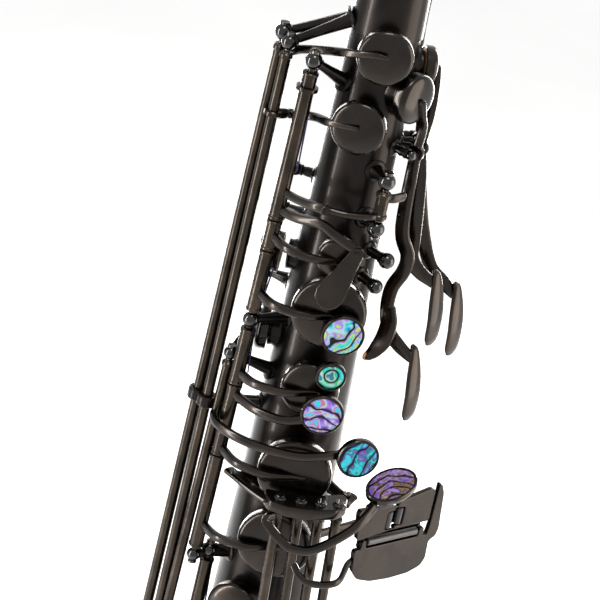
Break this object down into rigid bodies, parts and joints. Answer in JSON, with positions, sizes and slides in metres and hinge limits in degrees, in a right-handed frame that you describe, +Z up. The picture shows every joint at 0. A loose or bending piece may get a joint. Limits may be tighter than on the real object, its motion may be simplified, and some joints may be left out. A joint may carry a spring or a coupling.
{
  "type": "soprano saxophone",
  "caption": "Straight soprano saxophone in satin black with hinged keys on posts and rods, abalone finger touches, palm keys, little-finger table, neck and mouthpiece.",
  "frame": {"origin": "centre of the bell rim, which is the lowest face", "axes": "+Z up the bore, -Y the side the fingers work from, +X the side with the palm keys and the little-finger table"},
  "size_m": [0.0952, 0.0952, 0.702],
  "materials": {
    "black_lacquer": "black nickel plate under satin lacquer",
    "key_lacquer": "black nickel plate under satin lacquer, a little browner than the body",
    "rod_steel": "blackened steel hinge rod",
    "pearl": "polished abalone shell in blue, green and violet waves",
    "cork": "sanded cork",
    "ebonite": "polished black hard rubber",
    "cane": "cut cane",
    "roller_black": "polished black resin"
  },
  "bodies": {
    "instrument": {"body_tube": "black_lacquer", "bell": "black_lacquer", "bell_ring": "key_lacquer", "thumb_hook": "key_lacquer", "thumb_rest": "roller_black", "strap_ring": "key_lacquer", "table_bracket": "key_lacquer", "upper_stack_rod": "rod_steel", "lower_stack_rod": "rod_steel"},
    "neck": {"neck": "black_lacquer", "neck_cork": "cork"},
    "neck_screw": {"neck_screw": "key_lacquer"},
    "mouthpiece": {"mouthpiece": "ebonite", "reed": "cane", "ligature": "key_lacquer"},
    "ligature_screw_upper": {"ligature_screw_upper": "key_lacquer"},
    "ligature_screw_lower": {"ligature_screw_lower": "key_lacquer"},
    "front_f_key": {"front_f_key": "key_lacquer"},
    "small_c_key": {"small_c_key": "key_lacquer"},
    "b_key": {"b_key": "key_lacquer", "pearl_b": "pearl"},
    "bis_key": {"bis_key": "key_lacquer", "pearl_bis": "pearl"},
    "a_key": {"a_key": "key_lacquer", "pearl_a": "pearl"},
    "g_key": {"g_key": "key_lacquer", "pearl_g": "pearl"},
    "f_sharp_key": {"f_sharp_key": "key_lacquer"},
    "f_key": {"f_key": "key_lacquer", "pearl_f": "pearl"},
    "e_key": {"e_key": "key_lacquer", "pearl_e": "pearl"},
    "d_key": {"d_key": "key_lacquer", "pearl_d": "pearl"},
    "high_e_key": {"high_e_key": "key_lacquer"},
    "side_c_key": {"side_c_key": "key_lacquer"},
    "side_bb_key": {"side_bb_key": "key_lacquer"},
    "c_sharp_vent_key": {"c_sharp_vent_key": "key_lacquer"},
    "palm_d_key": {"palm_d_key": "key_lacquer"},
    "palm_eb_key": {"palm_eb_key": "key_lacquer"},
    "palm_f_key": {"palm_f_key": "key_lacquer"},
    "high_f_lever": {"high_f_lever": "key_lacquer"},
    "g_sharp_key": {"g_sharp_key": "key_lacquer", "pearl_g_sharp": "pearl"},
    "low_c_sharp_key": {"low_c_sharp_key": "key_lacquer"},
    "low_b_key": {"low_b_key": "key_lacquer"},
    "low_bb_key": {"low_bb_key": "key_lacquer"},
    "low_eb_key": {"low_eb_key": "key_lacquer"},
    "low_c_key": {"low_c_key": "key_lacquer"},
    "octave_lever": {"octave_lever": "key_lacquer"},
    "body_octave_key": {"body_octave_key": "key_lacquer"},
    "neck_octave_key": {"neck_octave_key": "key_lacquer"},
    "c_sharp_roller": {"c_sharp_roller": "roller_black"},
    "low_b_roller": {"low_b_roller": "roller_black"},
    "low_bb_roller": {"low_bb_roller": "roller_black"},
    "low_eb_roller": {"low_eb_roller": "roller_black"},
    "low_c_roller": {"low_c_roller": "roller_black"}
  },
  "joints": [
    {"name": "front_f_key_hinge", "type": "hinge", "parent": "instrument", "child": "front_f_key", "pos_m": [-0.0213, -0.0124, 0.364], "axis": [0.0325, 0.006, 0.9995], "range_deg": [0, 4.5], "stiffness_Nm_per_rad": 0.02, "springref_deg": -20.05},
    {"name": "small_c_key_hinge", "type": "hinge", "parent": "instrument", "child": "small_c_key", "pos_m": [-0.0213, -0.0124, 0.364], "axis": [0.0325, 0.006, 0.9995], "range_deg": [0, 5.8], "stiffness_Nm_per_rad": 0.02, "springref_deg": -20.05},
    {"name": "b_key_hinge", "type": "hinge", "parent": "instrument", "child": "b_key", "pos_m": [-0.0213, -0.0124, 0.364], "axis": [0.0325, 0.006, 0.9995], "range_deg": [0, 6.2], "stiffness_Nm_per_rad": 0.02, "springref_deg": -20.05},
    {"name": "bis_key_hinge", "type": "hinge", "parent": "instrument", "child": "bis_key", "pos_m": [-0.0213, -0.0124, 0.364], "axis": [0.0325, 0.006, 0.9995], "range_deg": [0, 5.5], "stiffness_Nm_per_rad": 0.02, "springref_deg": -20.05},
    {"name": "a_key_hinge", "type": "hinge", "parent": "instrument", "child": "a_key", "pos_m": [-0.0213, -0.0124, 0.364], "axis": [0.0325, 0.006, 0.9995], "range_deg": [0, 5.8], "stiffness_Nm_per_rad": 0.02, "springref_deg": -20.05},
    {"name": "g_key_hinge", "type": "hinge", "parent": "instrument", "child": "g_key", "pos_m": [-0.0213, -0.0124, 0.364], "axis": [0.0325, 0.006, 0.9995], "range_deg": [0, 5.8], "stiffness_Nm_per_rad": 0.02, "springref_deg": -20.05},
    {"name": "f_sharp_key_hinge", "type": "hinge", "parent": "instrument", "child": "f_sharp_key", "pos_m": [-0.0208, -0.0138, 0.2125], "axis": [0.023, 0.0275, 0.9994], "range_deg": [0, 7], "stiffness_Nm_per_rad": 0.02, "springref_deg": -20.05},
    {"name": "f_key_hinge", "type": "hinge", "parent": "instrument", "child": "f_key", "pos_m": [-0.0208, -0.0138, 0.2125], "axis": [0.023, 0.0275, 0.9994], "range_deg": [0, 7], "stiffness_Nm_per_rad": 0.02, "springref_deg": -20.05},
    {"name": "e_key_hinge", "type": "hinge", "parent": "instrument", "child": "e_key", "pos_m": [-0.0208, -0.0138, 0.2125], "axis": [0.023, 0.0275, 0.9994], "range_deg": [0, 7.1], "stiffness_Nm_per_rad": 0.02, "springref_deg": -20.05},
    {"name": "d_key_hinge", "type": "hinge", "parent": "instrument", "child": "d_key", "pos_m": [-0.0208, -0.0138, 0.2125], "axis": [0.023, 0.0275, 0.9994], "range_deg": [0, 7.4], "stiffness_Nm_per_rad": 0.02, "springref_deg": -20.05},
    {"name": "high_e_key_hinge", "type": "hinge", "parent": "instrument", "child": "high_e_key", "pos_m": [-0.0257, -0.0038, 0.5182], "axis": [-0.0339, -0.0161, -0.9993], "range_deg": [0, 4.2], "stiffness_Nm_per_rad": 0.02, "springref_deg": -20.05},
    {"name": "side_c_key_hinge", "type": "hinge", "parent": "instrument", "child": "side_c_key", "pos_m": [-0.0236, -0.0067, 0.5168], "axis": [-0.0266, -0.0164, -0.9995], "range_deg": [0, 4.8], "stiffness_Nm_per_rad": 0.02, "springref_deg": -20.05},
    {"name": "side_bb_key_hinge", "type": "hinge", "parent": "instrument", "child": "side_bb_key", "pos_m": [-0.0282, -0.0146, 0.2845], "axis": [0.0405, 0.0356, 0.9985], "range_deg": [0, 7], "stiffness_Nm_per_rad": 0.02, "springref_deg": -20.05},
    {"name": "c_sharp_vent_key_hinge", "type": "hinge", "parent": "instrument", "child": "c_sharp_vent_key", "pos_m": [-0.0182, 0.0075, 0.446], "axis": [0.04, 0, 0.9992], "range_deg": [0, 8], "stiffness_Nm_per_rad": 0.02, "springref_deg": -20.05},
    {"name": "palm_d_key_hinge", "type": "hinge", "parent": "instrument", "child": "palm_d_key", "pos_m": [0.01407, -0.0063, 0.494], "axis": [0.3665, 0.9304, 0], "range_deg": [0, 4.8], "stiffness_Nm_per_rad": 0.02, "springref_deg": -20.05},
    {"name": "palm_eb_key_hinge", "type": "hinge", "parent": "instrument", "child": "palm_eb_key", "pos_m": [0.01536, -0.00137, 0.494], "axis": [0.0436, 0.999, 0], "range_deg": [0, 4.8], "stiffness_Nm_per_rad": 0.02, "springref_deg": -20.05},
    {"name": "palm_f_key_hinge", "type": "hinge", "parent": "instrument", "child": "palm_f_key", "pos_m": [0.01496, 0.0037, 0.494], "axis": [-0.284, 0.9588, 0], "range_deg": [0, 4], "stiffness_Nm_per_rad": 0.02, "springref_deg": -20.05},
    {"name": "high_f_lever_hinge", "type": "hinge", "parent": "instrument", "child": "high_f_lever", "pos_m": [0.0085, -0.0147, 0.488], "axis": [-0.0075, -0.0376, -0.9993], "range_deg": [0, 4.5], "stiffness_Nm_per_rad": 0.02, "springref_deg": -20.05},
    {"name": "g_sharp_key_hinge", "type": "hinge", "parent": "instrument", "child": "g_sharp_key", "pos_m": [0.0016, -0.0273, 0.338], "axis": [-0.0448, 0.0112, 0.9989], "range_deg": [0, 7], "stiffness_Nm_per_rad": 0.02, "springref_deg": -20.05},
    {"name": "low_c_sharp_key_hinge", "type": "hinge", "parent": "instrument", "child": "low_c_sharp_key", "pos_m": [0.0292, -0.0186, 0.114], "axis": [-0.05, -0.0184, 0.9986], "range_deg": [0, 5], "stiffness_Nm_per_rad": 0.02, "springref_deg": -20.05},
    {"name": "low_b_key_hinge", "type": "hinge", "parent": "instrument", "child": "low_b_key", "pos_m": [0.0276, -0.0248, 0.078], "axis": [-0.0548, -0.0019, 0.9985], "range_deg": [0, 7.5], "stiffness_Nm_per_rad": 0.02, "springref_deg": -20.05},
    {"name": "low_bb_key_hinge", "type": "hinge", "parent": "instrument", "child": "low_bb_key", "pos_m": [0.0242, -0.0286, 0.046], "axis": [-0.0558, 0.0069, 0.9984], "range_deg": [0, 6], "stiffness_Nm_per_rad": 0.02, "springref_deg": -20.05},
    {"name": "low_eb_key_hinge", "type": "hinge", "parent": "instrument", "child": "low_eb_key", "pos_m": [-0.0246, -0.0174, 0.144], "axis": [0.0256, 0.0288, 0.9993], "range_deg": [0, 6.5], "stiffness_Nm_per_rad": 0.02, "springref_deg": -20.05},
    {"name": "low_c_key_hinge", "type": "hinge", "parent": "instrument", "child": "low_c_key", "pos_m": [-0.0246, -0.0174, 0.144], "axis": [0.0256, 0.0288, 0.9993], "range_deg": [0, 7.2], "stiffness_Nm_per_rad": 0.02, "springref_deg": -20.05},
    {"name": "octave_lever_hinge", "type": "hinge", "parent": "instrument", "child": "octave_lever", "pos_m": [0.0034, 0.0165, 0.486], "axis": [-1, 0, 0], "range_deg": [0, 6], "stiffness_Nm_per_rad": 0.02, "springref_deg": -20.05},
    {"name": "body_octave_key_hinge", "type": "hinge", "parent": "instrument", "child": "body_octave_key", "pos_m": [0.0029, 0.0142, 0.512], "axis": [-1, 0, 0], "range_deg": [0, 5], "stiffness_Nm_per_rad": 0.02, "springref_deg": -20.05},
    {"name": "neck_octave_key_hinge", "type": "hinge", "parent": "neck", "child": "neck_octave_key", "pos_m": [0.0027, 0.0116, 0.588], "axis": [-1, 0, 0], "range_deg": [0, 4.8], "stiffness_Nm_per_rad": 0.02, "springref_deg": -20.05},
    {"name": "c_sharp_roller_spin", "type": "hinge", "parent": "low_c_sharp_key", "child": "c_sharp_roller", "pos_m": [0.02997, -0.01131, 0.3877], "axis": [0, 0, 1], "continuous": true},
    {"name": "low_b_roller_spin", "type": "hinge", "parent": "low_b_key", "child": "low_b_roller", "pos_m": [0.03261, -0.00902, 0.3884], "axis": [0, 0, 1], "continuous": true},
    {"name": "low_bb_roller_spin", "type": "hinge", "parent": "low_bb_key", "child": "low_bb_roller", "pos_m": [0.03209, -0.00947, 0.3815], "axis": [0.7547, 0.6561, 0], "continuous": true},
    {"name": "low_eb_roller_spin", "type": "hinge", "parent": "low_eb_key", "child": "low_eb_roller", "pos_m": [-0.01317, -0.02584, 0.1957], "axis": [0.891, -0.454, 0], "continuous": true},
    {"name": "low_c_roller_spin", "type": "hinge", "parent": "low_c_key", "child": "low_c_roller", "pos_m": [-0.01448, -0.02704, 0.19197], "axis": [0.8271, -0.562, 0.0047], "continuous": true},
    {"name": "neck_slide", "type": "slide", "parent": "instrument", "child": "neck", "axis": [0, 0, 1], "range_m": [0, 0.012]},
    {"name": "mouthpiece_slide", "type": "slide", "parent": "neck", "child": "mouthpiece", "axis": [0, 0, 1], "range_m": [0, 0.006]},
    {"name": "neck_screw_spin", "type": "hinge", "parent": "instrument", "child": "neck_screw", "pos_m": [-0.00583, 0.01251, 0.5595], "axis": [-0.9063, -0.4226, 0], "continuous": true},
    {"name": "ligature_screw_upper_spin", "type": "hinge", "parent": "mouthpiece", "child": "ligature_screw_upper", "pos_m": [0, 0.0149, 0.6565], "axis": [1, 0, 0], "continuous": true},
    {"name": "ligature_screw_lower_spin", "type": "hinge", "parent": "mouthpiece", "child": "ligature_screw_lower", "pos_m": [0, 0.0149, 0.6495], "axis": [1, 0, 0], "continuous": true}
  ],
  "couplings": [
    {"joint": "high_f_lever_hinge", "follows": "front_f_key_hinge", "ratio": 1},
    {"joint": "small_c_key_hinge", "follows": "b_key_hinge", "ratio": 0.935},
    {"joint": "c_sharp_vent_key_hinge", "follows": "b_key_hinge", "ratio": 1.29},
    {"joint": "f_sharp_key_hinge", "follows": "f_key_hinge", "ratio": 1},
    {"joint": "neck_octave_key_hinge", "follows": "octave_lever_hinge", "ratio": 0.8}
  ]
}
